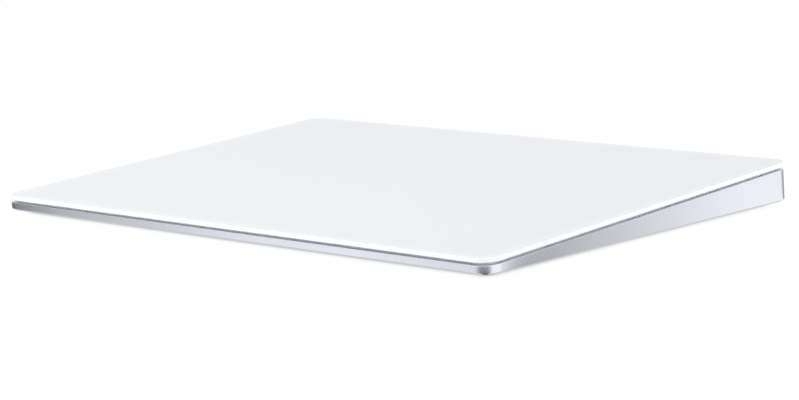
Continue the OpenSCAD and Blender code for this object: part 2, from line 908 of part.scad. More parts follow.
// Coloured strip on the housing that shows when the knob is slid over
module switch_flag() {
  size = [knob_w + switch_travel + 1, flag_t, knob_h + 0.4];
  slot = [stem + switch_travel + 2 * stem_room, stem + 2 * stem_room];
  color([0.25, 0.75, 0.35])
    difference() {
      translate([switch_x - size[0] / 2, switch_face_y, rear_mid_z - size[2] / 2])
        cube(size);
      translate([switch_x - slot[0] / 2, switch_face_y - bite, rear_mid_z - slot[1] / 2])
        cube([slot[0], flag_t + 2 * bite, slot[1]]);
    }
}

// Knob in the rear wall, with the stem that works the switch
module switch_knob() {
  back_y = switch_face_y + flag_t + 0.1;
  front_face_y = body_d / 2 - (rear_mid_z + knob_h / 2 - edge_z) * tan(slope) + knob_proud;
  color([0.88, 0.89, 0.90]) {
    translate([knob_rest_x, back_y, rear_mid_z])
      rotate([-90, 0, 0])
        linear_extrude(front_face_y - back_y)
          round_rect(knob_w, knob_h, knob_h * 0.45);
    translate([knob_rest_x - stem / 2, switch_face_y - stem_l, rear_mid_z - stem / 2])
      cube([stem, back_y - switch_face_y + stem_l + bite, stem]);
  }
}

bottom_case();
foot_front_left();
foot_front_right();
foot_rear_left();
foot_rear_right();
glass_plate();
glass_film();
touch_sensor_board();
touch_controller();
pad_stiffener();
magnet_carrier();
haptic_magnets();
gel_front_left();
gel_front_right();
gel_rear_left();
gel_rear_right();
leaf_front_left();
leaf_front_right();
leaf_rear_left();
leaf_rear_right();
gauge_front_left();
gauge_front_right();
gauge_rear_left();
gauge_rear_right();
leaf_screws();
haptic_yoke();
haptic_coil();
haptic_screws();
battery_cell();
battery_glue();
battery_board();
battery_tabs();
battery_flex();
logic_board();
logic_screws();
processor_chip();
charger_chip();
radio_chip();
radio_shield();
board_sockets();
pad_flex();
rear_flex();
rear_board();
rear_screws();
port_shell();
port_tongue();
port_contacts();
antenna();
switch_body();
switch_flag();
switch_knob();
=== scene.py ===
import json
import math

import bmesh
import bpy
from mathutils import Matrix, Vector


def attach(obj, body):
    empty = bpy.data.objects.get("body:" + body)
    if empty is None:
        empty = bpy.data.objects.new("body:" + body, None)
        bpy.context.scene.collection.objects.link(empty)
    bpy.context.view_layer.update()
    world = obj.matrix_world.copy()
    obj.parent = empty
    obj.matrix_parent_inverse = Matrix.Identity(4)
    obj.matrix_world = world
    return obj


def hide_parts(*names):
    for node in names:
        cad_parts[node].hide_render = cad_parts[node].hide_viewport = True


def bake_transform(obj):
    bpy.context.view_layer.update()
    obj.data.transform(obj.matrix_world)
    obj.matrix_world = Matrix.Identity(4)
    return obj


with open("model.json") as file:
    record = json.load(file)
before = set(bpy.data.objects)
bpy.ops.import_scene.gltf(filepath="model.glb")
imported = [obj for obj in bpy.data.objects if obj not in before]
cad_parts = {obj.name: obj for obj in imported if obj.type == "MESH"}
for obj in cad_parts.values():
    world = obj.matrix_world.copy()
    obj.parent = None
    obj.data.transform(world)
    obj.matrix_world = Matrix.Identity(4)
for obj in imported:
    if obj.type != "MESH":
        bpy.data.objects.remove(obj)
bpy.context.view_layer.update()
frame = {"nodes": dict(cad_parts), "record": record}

scene = bpy.context.scene
mm = 0.001

# sizes of the whole part in millimetres, as in the solids
body = {
    "width": 160.0,
    "depth": 114.9,
    "frontHeight": 4.9,
    "backHeight": 10.9,
    "cornerRadius": 4.5,
    "underside": 1.2,
    "lowerEdge": 0.45,
    "wall": 1.8,
    "floor": 0.5,
    "glass": 1.1,
    "slot": 0.6,
    "rearMiddle": 4.9,      # height of the port and the switch in the rear wall
    "switchX": -34.0,
    "switchTravel": 2.4,
}
edgeHeight = body["underside"] + body["lowerEdge"]
floorHeight = body["underside"] + body["floor"]
rise = body["backHeight"] - body["frontHeight"]
run = (body["depth"] + math.sqrt(body["depth"] ** 2 - 4 * (body["backHeight"] - edgeHeight) * rise)) / 2
slope = math.atan2(rise, run)
slopeSin, slopeCos, slopeTan = math.sin(slope), math.cos(slope), math.tan(slope)
glassDepth = run / slopeCos
frontY = -body["depth"] / 2
rimLevel = -body["glass"] - body["slot"]
signs = (-1, 1)
mergeGap = 1e-7                             # metres
coreHeight = 1000.0                         # metres, so that height never counts in a distance to an outline
alongGlass = (slope, 0, 0)                  # turns of what lies along the glass
fromRearWall = (-math.pi / 2, 0, 0)         # and of what points out of the rear wall


def padPoint(x, v, level):
    # x across, v along the glass from its front edge, level square to the glass
    return Vector((x, frontY + v * slopeCos - level * slopeSin,
                   body["frontHeight"] + v * slopeSin + level * slopeCos)) * mm


def levelAt(v, height):
    return (height - body["frontHeight"] - v * slopeSin) / slopeCos


def wallY(height):
    # outer face of the rear wall at a height
    return body["depth"] / 2 - (height - edgeHeight) * slopeTan


deskMatrix = Matrix.Identity(4)
padMatrix = Matrix.Translation(padPoint(0, 0, 0)) @ Matrix.Rotation(slope, 4, "X")


# node helpers
def isSocket(value):
    return isinstance(value, bpy.types.NodeSocket)


def addNode(tree, kind, inputs=None, **settings):
    made = tree.nodes.new(kind)
    for key, value in settings.items():
        setattr(made, key, value)
    for key, value in (inputs or {}).items():
        if isSocket(value):
            tree.links.new(value, made.inputs[key])
        else:
            made.inputs[key].default_value = value
    return made


def addOut(tree, kind, inputs=None, **settings):
    return addNode(tree, kind, inputs, **settings).outputs[0]


def calc(tree, operation, first, second):
    return addOut(tree, "ShaderNodeMath", {0: first, 1: second}, operation=operation)


def times(tree, first, second):
    return calc(tree, "MULTIPLY", first, second)


def minus(tree, first, second):
    return calc(tree, "SUBTRACT", first, second)


def vectorCalc(tree, operation, first, second=None):
    inputs = {0: first}
    if second is not None:
        inputs["Scale" if operation == "SCALE" else 1] = second
    made = addNode(tree, "ShaderNodeVectorMath", inputs, operation=operation)
    return made.outputs["Value" if operation in ("LENGTH", "DOT_PRODUCT") else "Vector"]


def combine(tree, **axes):
    return addOut(tree, "ShaderNodeCombineXYZ", {axis.upper(): value for axis, value in axes.items()})


def pastCore(tree, place, core):
    # how far a place lies past a box about the origin, along each axis
    past = vectorCalc(tree, "SUBTRACT", vectorCalc(tree, "ABSOLUTE", place), core)
    return vectorCalc(tree, "MAXIMUM", past, (0, 0, 0))


def outlineDistance(tree, place, halfWidth, halfDepth, radius):
    # how far a place is outside a rounded rectangle about the origin
    core = ((halfWidth - radius) * mm, (halfDepth - radius) * mm, coreHeight)
    return minus(tree, vectorCalc(tree, "LENGTH", pastCore(tree, place, core)), radius * mm)


def noiseAt(tree, place, scale, detail=2.0, roughness=0.5):
    return addNode(tree, "ShaderNodeTexNoise", {"Vector": place, "Scale": scale, "Detail": detail,
                                                "Roughness": roughness}).outputs["Fac"]


def remap(tree, value, low, high, fromLow=0.3, fromHigh=0.7):
    return addOut(tree, "ShaderNodeMapRange", {"Value": value, "From Min": fromLow, "From Max": fromHigh,
                                               "To Min": low, "To Max": high})


def blendColours(tree, factor, first, second):
    # a mix node's sockets 6 and 7 take colours, and 2 and 3 take plain levels
    first, second = [colour if isSocket(colour) else (*colour, 1) for colour in (first, second)]
    return addNode(tree, "ShaderNodeMix", {0: factor, 6: first, 7: second}, data_type="RGBA").outputs[2]


def blendLevels(tree, factor, first, second):
    return addOut(tree, "ShaderNodeMix", {0: factor, 2: first, 3: second}, data_type="FLOAT")


# patterns, and a painted highlight along the glass edge, on top of a finish's own colour
def acrossOf(tree, place):
    return addOut(tree, "ShaderNodeSeparateXYZ", {"Vector": place})


# painted highlight: a paler band along the glass edge, as if light came in through the edge
def paintedEdgeLight(tree, place, colour, rim):
    middle = padPoint(0, glassDepth / 2, 0)
    onPad = addOut(tree, "ShaderNodeMapping", {"Vector": place, "Location": middle, "Rotation": alongGlass},
                   vector_type="TEXTURE")
    away = outlineDistance(tree, onPad, body["width"] / 2, glassDepth / 2, body["cornerRadius"])
    share = remap(tree, away, 0, 1, -rim["inner"] * mm, -rim["outer"] * mm)
    return blendColours(tree, share, colour, rim["colour"])


def darkSide(tree, place, colour, dark):
    beyond = calc(tree, "GREATER_THAN", acrossOf(tree, place), dark["to"] * mm)
    return blendColours(tree, beyond, dark["colour"], colour)


def boardTraces(tree, place, colour, copper):
    # copper lines under the mask, in patches, and the plated holes between them
    onBoard = vectorCalc(tree, "SCALE", place, 1 / mm)
    lines = addNode(tree, "ShaderNodeTexBrick", {
        "Vector": onBoard, "Scale": 1.0, "Mortar Size": copper["line"], "Brick Width": copper["length"],
        "Row Height": copper["pitch"]}).outputs["Fac"]
    patches = remap(tree, noiseAt(tree, onBoard, copper["patches"]), 0, 1, *copper["patchEdge"])
    colour = blendColours(tree, times(tree, lines, patches), colour, copper["masked"])
    spots = addNode(tree, "ShaderNodeTexVoronoi", {"Vector": onBoard, "Scale": copper["holes"]},
                    voronoi_dimensions="2D").outputs["Distance"]
    return blendColours(tree, calc(tree, "LESS_THAN", spots, copper["holeSize"]), colour, copper["plated"])


def cableLines(tree, place, colour, copper):
    wave = calc(tree, "PINGPONG", acrossOf(tree, place), copper["pitch"] / 2 * mm)
    gaps = calc(tree, "GREATER_THAN", wave, copper["gap"] / 2 * mm)
    return blendColours(tree, gaps, colour, copper["masked"])


patternsAndPaintedLight = {"rim": paintedEdgeLight, "dark": darkSide, "traces": boardTraces, "lines": cableLines}
noiseDetail = {"cloud": (3.0, 0.5), "grain": (2.0, 0.6)}        # detail and roughness of the two noises
usualBumpDepth = 0.02       # millimetres

# scales are per metre: 5000 is a grain of 0.2 mm
looks = {
    "case_aluminium": {"colours": [(0.874, 0.898, 0.966), (0.886, 0.908, 0.972)], "metallic": 1.0,
                       "roughness": (0.25, 0.31), "cloud": 60, "grain": 5200, "bump": 0.05},
    "knob_aluminium": {"colours": [(0.880, 0.900, 0.950), (0.895, 0.912, 0.960)], "metallic": 1.0,
                       "roughness": (0.28, 0.36), "cloud": 300, "grain": 6000, "bump": 0.05},
    "white_glass": {"colours": [(0.872, 0.881, 0.918), (0.878, 0.887, 0.923)],
                    # painted highlight along the glass edge, paler than the rest of the plate
                    "rim": {"colour": (0.905, 0.912, 0.942), "inner": 3.2, "outer": 1.8},
                    "roughness": (0.30, 0.36), "cloud": 25, "grain": 7000, "bump": 0.03, "bumpDepth": 0.01},
    "bonding_film": {"colours": [(0.82, 0.82, 0.82), (0.86, 0.86, 0.86)],
                     "roughness": (0.5, 0.6), "cloud": 80, "grain": 2000, "bump": 0.1},
    "chip_black": {"colours": [(0.018, 0.018, 0.020), (0.030, 0.030, 0.032)],
                   "roughness": (0.45, 0.62), "cloud": 500, "grain": 4000, "bump": 0.2},
    "frame_steel": {"colours": [(0.42, 0.42, 0.43), (0.50, 0.50, 0.51)], "metallic": 1.0,
                    "roughness": (0.30, 0.45), "cloud": 90, "grain": 1500, "bump": 0.08},
    "plated_magnet": {"colours": [(0.58, 0.58, 0.60), (0.66, 0.66, 0.67)], "metallic": 1.0,
                      "roughness": (0.18, 0.30), "cloud": 200, "grain": 2500, "bump": 0.06},
    "screw_steel": {"colours": [(0.20, 0.20, 0.21), (0.28, 0.28, 0.29)], "metallic": 1.0,
                    "roughness": (0.30, 0.42), "cloud": 900, "grain": 6000, "bump": 0.1},
    "copper_winding": {"colours": [(0.60, 0.26, 0.11), (0.72, 0.34, 0.15)], "metallic": 1.0,
                       "roughness": (0.22, 0.36), "cloud": 400, "grain": 4000, "bump": 0.08},
    "nickel_strip": {"colours": [(0.56, 0.55, 0.50), (0.63, 0.62, 0.57)], "metallic": 1.0,
                     "roughness": (0.25, 0.38), "cloud": 400, "grain": 3000, "bump": 0.08},
    "amber_flex": {"colours": [(0.55, 0.24, 0.03), (0.63, 0.30, 0.05)],
                   "lines": {"pitch": 0.5, "gap": 0.22, "masked": (0.34, 0.11, 0.015)},
                   "roughness": (0.22, 0.34), "cloud": 200, "grain": 2500, "bump": 0.06},
    "tinned_shield": {"colours": [(0.62, 0.62, 0.63), (0.70, 0.70, 0.70)], "metallic": 1.0,
                      "roughness": (0.24, 0.38), "cloud": 250, "grain": 2600, "bump": 0.08},
    "socket_plastic": {"colours": [(0.60, 0.57, 0.48), (0.66, 0.63, 0.54)],
                       "roughness": (0.40, 0.52), "cloud": 500, "grain": 4000, "bump": 0.1},
    "port_steel": {"colours": [(0.50, 0.51, 0.53), (0.58, 0.59, 0.61)], "metallic": 1.0,
                   "roughness": (0.22, 0.34), "cloud": 500, "grain": 4500, "bump": 0.06},
    "port_plastic": {"colours": [(0.012, 0.012, 0.013), (0.022, 0.022, 0.024)],
                     "roughness": (0.38, 0.50), "cloud": 500, "grain": 4500, "bump": 0.1},
    "gold_contact": {"colours": [(0.74, 0.50, 0.16), (0.82, 0.58, 0.22)], "metallic": 1.0,
                     "roughness": (0.16, 0.26), "cloud": 900, "grain": 5000, "bump": 0.05, "bumpDepth": 0.01},
    "antenna_ceramic": {"colours": [(0.66, 0.66, 0.60), (0.72, 0.72, 0.67)], "roughness": (0.48, 0.60),
                        "cloud": 300, "grain": 2500, "bump": 0.1, "bumpDepth": 0.03},
    "switch_green": {"colours": [(0.045, 0.42, 0.10), (0.060, 0.48, 0.13)],
                     "dark": {"colour": (0.020, 0.020, 0.022), "to": body["switchX"]},
                     "roughness": (0.40, 0.50), "cloud": 600, "grain": 4000, "bump": 0.1},
    "foot_rubber": {"colours": [(0.32, 0.33, 0.34), (0.37, 0.38, 0.39)],
                    "roughness": (0.70, 0.86), "cloud": 300, "grain": 3000, "bump": 0.3, "bumpDepth": 0.05},
    "clear_gel": {"colours": [(0.70, 0.78, 0.86), (0.76, 0.83, 0.90)], "transmission": 0.6, "ior": 1.42,
                  "roughness": (0.20, 0.32), "cloud": 300, "grain": 1800, "bump": 0.1, "bumpDepth": 0.03},
    "spring_steel": {"colours": [(0.46, 0.46, 0.48), (0.54, 0.54, 0.56)], "metallic": 1.0,
                     "roughness": (0.22, 0.34), "cloud": 200, "grain": 2400, "bump": 0.07},
    "gauge_film": {"colours": [(0.60, 0.32, 0.06), (0.68, 0.40, 0.10)],
                   "roughness": (0.30, 0.42), "cloud": 700, "grain": 3500, "bump": 0.08},
    "battery_wrap": {"colours": [(0.030, 0.031, 0.034), (0.048, 0.049, 0.053)], "metallic": 0.35,
                     "roughness": (0.34, 0.48), "cloud": 70, "grain": 420, "bump": 0.25, "bumpDepth": 0.12},
    "circuit_board": {"colours": [(0.010, 0.105, 0.045), (0.016, 0.140, 0.062)],
                      "traces": {"line": 0.07, "length": 5.3, "pitch": 0.62, "patches": 0.16,
                                 "patchEdge": (0.46, 0.50), "masked": (0.040, 0.26, 0.11),
                                 "holes": 0.36, "holeSize": 0.13, "plated": (0.62, 0.48, 0.20)},
                      "roughness": (0.30, 0.42), "cloud": 220, "grain": 1500, "bump": 0.1, "bumpDepth": 0.03},
}


def makeFinish(name, look):
    finish = bpy.data.materials.new(name)
    finish.use_nodes = True
    tree = finish.node_tree
    shader = tree.nodes["Principled BSDF"].inputs
    place = addNode(tree, "ShaderNodeTexCoord").outputs["Object"]
    cloud, grain = [noiseAt(tree, place, look[key], *noiseDetail[key]) for key in ("cloud", "grain")]
    colour = blendColours(tree, remap(tree, cloud, 0, 1), *look["colours"])
    for key, patternOrPaintedLight in patternsAndPaintedLight.items():
        if key in look:
            colour = patternOrPaintedLight(tree, place, colour, look[key])
    depth = look.get("bumpDepth", usualBumpDepth) * mm
    bump = addOut(tree, "ShaderNodeBump", {"Height": grain, "Strength": look["bump"], "Distance": depth})
    tree.links.new(colour, shader["Base Color"])
    tree.links.new(remap(tree, grain, *look["roughness"]), shader["Roughness"])
    tree.links.new(bump, shader["Normal"])
    shader["Metallic"].default_value = look.get("metallic", 0.0)
    shader["IOR"].default_value = look.get("ior", 1.5)
    shader["Transmission Weight"].default_value = look.get("transmission", 0.0)
    return finish


finishes = {slot: makeFinish(slot.replace("_", " ") + " finish", look) for slot, look in looks.items()}
print("finishes:", len(finishes))


# mesh helpers
def dress(mesh, finish):
    mesh.materials.clear()
    mesh.materials.append(finish)


def newPiece(name, mesh, finish=None):
    piece = bpy.data.objects.new(name, mesh)
    scene.collection.objects.link(piece)
    if finish is not None:
        dress(mesh, finish)
    return piece


def settle(piece, bodyName, slotName, *stoodFor):
    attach(piece, bodyName)
    if stoodFor:
        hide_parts(*stoodFor)


def softenEdges(mesh, degrees=35):
    for face in mesh.polygons:
        face.use_smooth = True
    mesh.set_sharp_from_angle(angle=math.radians(degrees))


def evenShading(piece):
    piece.modifiers.new("even shading", "WEIGHTED_NORMAL").keep_sharp = True


def meshOf(name, shape):
    mesh = bpy.data.meshes.new(name)
    shape.to_mesh(mesh)
    shape.free()
    return mesh


def meshFromRings(name, rings, capped=True):
    shape = bmesh.new()
    loops = [[shape.verts.new(point) for point in ring] for ring in rings]
    for low, high in zip(loops, loops[1:]):
        for i in range(len(low)):
            j = (i + 1) % len(low)
            shape.faces.new((low[i], low[j], high[j], high[i]))
    if capped:
        shape.faces.new(loops[0])
        shape.faces.new(loops[-1])
    bmesh.ops.remove_doubles(shape, verts=shape.verts, dist=mergeGap)
    bmesh.ops.recalc_face_normals(shape, faces=shape.faces)
    return meshOf(name, shape)


def roundedProfile(points, radius, steps):
    # a line through the points, with an arc at each one but the first and the last
    profile = [points[0]]
    for before, corner, after in zip(points, points[1:], points[2:]):
        corner = Vector(corner)
        before = (Vector(before) - corner).normalized()
        after = (Vector(after) - corner).normalized()
        half = before.angle(after) / 2
        centre = corner + (before + after).normalized() * radius / math.sin(half)
        start = corner + before * radius / math.tan(half) - centre
        end = corner + after * radius / math.tan(half) - centre
        turn = start.angle(end)
        for k in range(steps + 1):
            share = k / steps
            arm = (start * math.sin((1 - share) * turn) + end * math.sin(share * turn)) / math.sin(turn)
            profile.append(tuple(centre + arm))
    return [*profile, points[-1]]


def arcOutline(centres, radius, steps):
    # equal arcs joined by straight lines, each about its centre from its start angle
    points = []
    for x, y, start in centres:
        for i in range(steps + 1):
            angle = math.radians(start + 360 / len(centres) * i / steps)
            points.append((x + radius * math.cos(angle), y + radius * math.sin(angle)))
    return points


def plateOutline(halfWidth, halfDepth, radius, steps):
    x, y = halfWidth - radius, halfDepth - radius
    return arcOutline([(x, -y, -90), (x, y, 0), (-x, y, 90), (-x, -y, 180)], radius, steps)


def stadiumOutline(width, height, steps):
    x = (width - height) / 2
    return arcOutline([(x, 0, -90), (-x, 0, 90)], height / 2, steps)


def applyBoolean(piece, cutter, operation):
    change = piece.modifiers.new("join", "BOOLEAN")
    change.operation = operation
    change.solver = "EXACT"
    change.object = cutter
    graph = bpy.context.evaluated_depsgraph_get()
    mesh = bpy.data.meshes.new_from_object(piece.evaluated_get(graph))
    piece.modifiers.clear()
    old = piece.data
    piece.data = mesh
    bpy.data.meshes.remove(old)
    bpy.data.objects.remove(cutter)


# every solid that stays takes the finish of its slot in the record
slotOf = {entry["node"]: entry["material_slot"] for entry in frame["record"]["subparts"]}
for name, solid in frame["nodes"].items():
    dress(solid.data, finishes[slotOf[name]])

# milled case
caseSizes = {
    "cornerSteps": 20,
    "rimRound": (0.06, 5),          # radius and steps at the outer and inner edge of the rim
    "lowerRound": (0.16, 4),        # at both edges of the lower chamfer
    "floorRound": (0.45, 5),        # where the hollow's walls meet its floor
    "rimRuns": (0.5, 0.4),          # straight ends of the rim's profile, outside and inside
    "lowerRuns": (2.5, 0.5),        # of the chamfer's: inset under the case, and length up its wall
    "floorRuns": (0.6, 0.8),        # of the hollow's, up its wall and along its floor
    "openings": {"portCutter": (0.0, 9.2, 3.5),                     # middle x, width, height
                 "switchCutter": (body["switchX"], 7.4, 2.8)},
    "openingFlare": 0.18,           # chamfer round the openings in the rear wall
    "openingReach": (3.2, 3.0, 0.02),       # of a cutter, inward, outward and past the wall's face
    "openingSteps": 16,
    "footPlace": (66.0, 43.45),
    "footSeat": (5.05, 0.2),        # radius, depth
    "screwHole": (0.65, 1.05),      # radius, depth under the head
    "bossRadius": 2.0,
    "bite": 0.3,                    # how far seats and bosses go into the floor
    "overrun": 1.0,                 # how far drills start outside
    "sides": {"boss": 24, "hole": 20, "foot": 64},
}
footX, footY = caseSizes["footPlace"]
footPlaces = [(sx * footX, sy * footY) for sx in signs for sy in signs]

# springs and engine are placed along the glass, with levels under it, and boards by height above the desk
leafBase = {"x": 72.2, "inset": 6.8, "length": 10.0, "width": 8.0, "under": -2.95, "top": -2.6,
            "holePitch": 4.64}
leafRows = (leafBase["inset"], glassDepth - leafBase["inset"])
engine = {"batteryFront": 66.9, "gap": 2.9, "halfDepth": 13.0, "holeX": 14.0, "holeV": 11.0, "top": -4.15,
          "under": -4.5}
engineV = engine["batteryFront"] / slopeCos - engine["gap"] - engine["halfDepth"]       # its middle
boards = {"thickness": 0.8, "logicTop": 3.0, "logicX": (-71.8, -22.2), "logicY": (-30.85, 0.75),
          "rearTop": 3.3, "rearX": (-52.0, -9.95, 9.95, 43.8), "rearY": 48.65}

# screws with the face under their heads and the top of the boss that they go into
screwSets = {
    "leaf": {"matrix": padMatrix, "top": leafBase["top"],
             "places": [(sx * leafBase["x"], v + sv * leafBase["holePitch"] / 2)
                        for sx in signs for v in leafRows for sv in signs]},
    "engine": {"matrix": padMatrix, "top": engine["top"], "boss": engine["under"],
               "places": [(sx * engine["holeX"], engineV + sv * engine["holeV"])
                          for sx in signs for sv in signs]},
    "logic": {"matrix": deskMatrix, "top": boards["logicTop"],
              "boss": boards["logicTop"] - boards["thickness"],
              "places": [(x, y) for x in boards["logicX"] for y in boards["logicY"]]},
    "rear": {"matrix": deskMatrix, "top": boards["rearTop"],
             "boss": boards["rearTop"] - boards["thickness"],
             "places": [(x, boards["rearY"]) for x in boards["rearX"]]},
}


def caseRing(inset, level=None, height=None):
    outline = plateOutline(body["width"] / 2 - inset, glassDepth / 2 - inset, body["cornerRadius"] - inset,
                           caseSizes["cornerSteps"])
    ring = []
    for x, v in outline:
        v += glassDepth / 2
        ring.append(padPoint(x, v, level if height is None else levelAt(v, height)))
    return ring


def makeCaseShell():
    under, edge, wall = body["underside"], body["lowerEdge"], body["wall"]
    inward, upward = caseSizes["lowerRuns"]
    lower = roundedProfile([(inward, under), (edge, under), (0, edgeHeight), (0, edgeHeight + upward)],
                           *caseSizes["lowerRound"])
    outside, inside = caseSizes["rimRuns"]
    rim = roundedProfile([(0, rimLevel - outside), (0, rimLevel), (wall, rimLevel),
                          (wall, rimLevel - inside)], *caseSizes["rimRound"])
    upward, inward = caseSizes["floorRuns"]
    hollow = roundedProfile([(wall, floorHeight + upward), (wall, floorHeight), (wall + inward, floorHeight)],
                            *caseSizes["floorRound"])
    rings = [caseRing(inset, height=z) for inset, z in lower]
    rings += [caseRing(inset, level=w) for inset, w in rim]
    rings += [caseRing(inset, height=z) for inset, z in hollow]
    return newPiece("caseShell", meshFromRings("caseShell", rings))


def solidBlock(shape, matrix, size, middle):
    made = bmesh.ops.create_cube(shape, size=1.0)["verts"]
    stretch = Matrix.Diagonal((*(Vector(size) * mm), 1))
    bmesh.ops.transform(shape, verts=made, matrix=matrix @ Matrix.Translation(Vector(middle) * mm) @ stretch)


def solidRod(shape, matrix, place, low, high, radius, sides):
    made = bmesh.ops.create_cone(shape, cap_ends=True, segments=sides, radius1=radius * mm,
                                 radius2=radius * mm, depth=(high - low) * mm)["verts"]
    middle = Vector((*place, (low + high) / 2)) * mm
    bmesh.ops.transform(shape, verts=made, matrix=matrix @ Matrix.Translation(middle))


def solidPiece(name, shape):
    bmesh.ops.recalc_face_normals(shape, faces=shape.faces)
    return newPiece(name, meshOf(name, shape))


def makeCaseSeats():
    shape = bmesh.new()
    for sx in signs:
        for v in leafRows:
            low = levelAt(v, floorHeight) - caseSizes["bite"]
            solidBlock(shape, padMatrix, (leafBase["length"], leafBase["width"], leafBase["under"] - low),
                       (sx * leafBase["x"], v, (leafBase["under"] + low) / 2))
    for screws in screwSets.values():
        if "boss" not in screws:        # those of the springs go into the blocks
            continue
        for place in screws["places"]:
            ground = floorHeight if screws["matrix"] is deskMatrix else levelAt(place[1], floorHeight)
            solidRod(shape, screws["matrix"], place, ground - caseSizes["bite"], screws["boss"],
                     caseSizes["bossRadius"], caseSizes["sides"]["boss"])
    return solidPiece("caseSeats", shape)


def openingCutter(name, opening):
    x, width, height = opening
    inward, outward, past = caseSizes["openingReach"]
    flare = caseSizes["openingFlare"]
    rings = []
    for offset, grow in ((-inward, 0), (-flare, 0), (past, flare + past), (outward, flare + past)):
        ring = []
        for px, pz in stadiumOutline(width + 2 * grow, height + 2 * grow, caseSizes["openingSteps"]):
            z = body["rearMiddle"] + pz
            ring.append(Vector((x + px, wallY(z) + offset, z)) * mm)
        rings.append(ring)
    return newPiece(name, meshFromRings(name, rings))


def makeHoles():
    shape = bmesh.new()
    start, sides = caseSizes["overrun"], caseSizes["sides"]
    radius, depth = caseSizes["screwHole"]
    for screws in screwSets.values():
        for place in screws["places"]:
            solidRod(shape, screws["matrix"], place, screws["top"] - depth, screws["top"] + start, radius,
                     sides["hole"])
    radius, depth = caseSizes["footSeat"]
    for place in footPlaces:
        solidRod(shape, deskMatrix, place, -start, body["underside"] + depth, radius, sides["foot"])
    return solidPiece("caseHoles", shape)


caseShell = makeCaseShell()
applyBoolean(caseShell, makeCaseSeats(), "UNION")
for name, opening in caseSizes["openings"].items():
    applyBoolean(caseShell, openingCutter(name, opening), "DIFFERENCE")
applyBoolean(caseShell, makeHoles(), "DIFFERENCE")
dress(caseShell.data, finishes["case_aluminium"])
softenEdges(caseShell.data)
evenShading(caseShell)
settle(caseShell, "case", "case_aluminium", "bottom_case")
print("case:", len(caseShell.data.polygons), "faces")


# node trees that grow the other pieces
def startTree(name, sockets):
    tree = bpy.data.node_groups.new(name, "GeometryNodeTree")
    for socketName, kind in sockets.items():
        tree.interface.new_socket(name=socketName, in_out="INPUT", socket_type="NodeSocket" + kind)
    tree.interface.new_socket(name="Geometry", in_out="OUTPUT", socket_type="NodeSocketGeometry")
    return tree, tree.nodes.new("NodeGroupInput").outputs


def endTree(tree, geometry, slot):
    real = addOut(tree, "GeometryNodeRealizeInstances", {"Geometry": geometry})
    dressed = addOut(tree, "GeometryNodeSetMaterial", {"Geometry": real, "Material": finishes[slot]})
    addNode(tree, "NodeGroupOutput", {0: dressed})
    return tree


def joinAll(tree, parts):
    joined = tree.nodes.new("GeometryNodeJoinGeometry")
    for part in parts:
        tree.links.new(part, joined.inputs[0])
    return joined.outputs[0]


def moved(tree, part, place, turn=(0, 0, 0)):
    return addOut(tree, "GeometryNodeTransform", {"Geometry": part, "Translation": place, "Rotation": turn})


def onPoints(tree, points, part, turn=(0, 0, 0)):
    return addOut(tree, "GeometryNodeInstanceOnPoints", {"Points": points, "Instance": part,
                                                         "Rotation": turn})


def merged(tree, part):
    return addOut(tree, "GeometryNodeMergeByDistance", {"Geometry": part, "Distance": 10 * mergeGap})


def roundedLoop(tree, width, height, radius, steps):
    loop = addOut(tree, "GeometryNodeCurvePrimitiveQuadrilateral", {"Width": width, "Height": height})
    return addOut(tree, "GeometryNodeFilletCurve", {"Curve": loop, "Radius": radius, "Count": steps},
                  mode="POLY")


def insetLoop(tree, width, depth, radius, inset, steps):
    twice = times(tree, inset, 2.0)
    width, depth = minus(tree, width, twice), minus(tree, depth, twice)
    return roundedLoop(tree, width, depth, minus(tree, radius, inset), steps)


def sweep(tree, path, profile):
    level = addOut(tree, "GeometryNodeSetCurveNormal", {"Curve": path}, mode="Z_UP")
    return addOut(tree, "GeometryNodeCurveToMesh", {"Curve": level, "Profile Curve": profile})


# rule for every plate with rounded edges: glass, feet, port, switch and screw heads
plateLengths = ("Width", "Depth", "Corner Radius", "Thickness", "Lower Edge", "Upper Edge")
plateSockets = {**dict.fromkeys(plateLengths, "Float"), "Corner Steps": "Int"}
plateEdgeSteps = 5


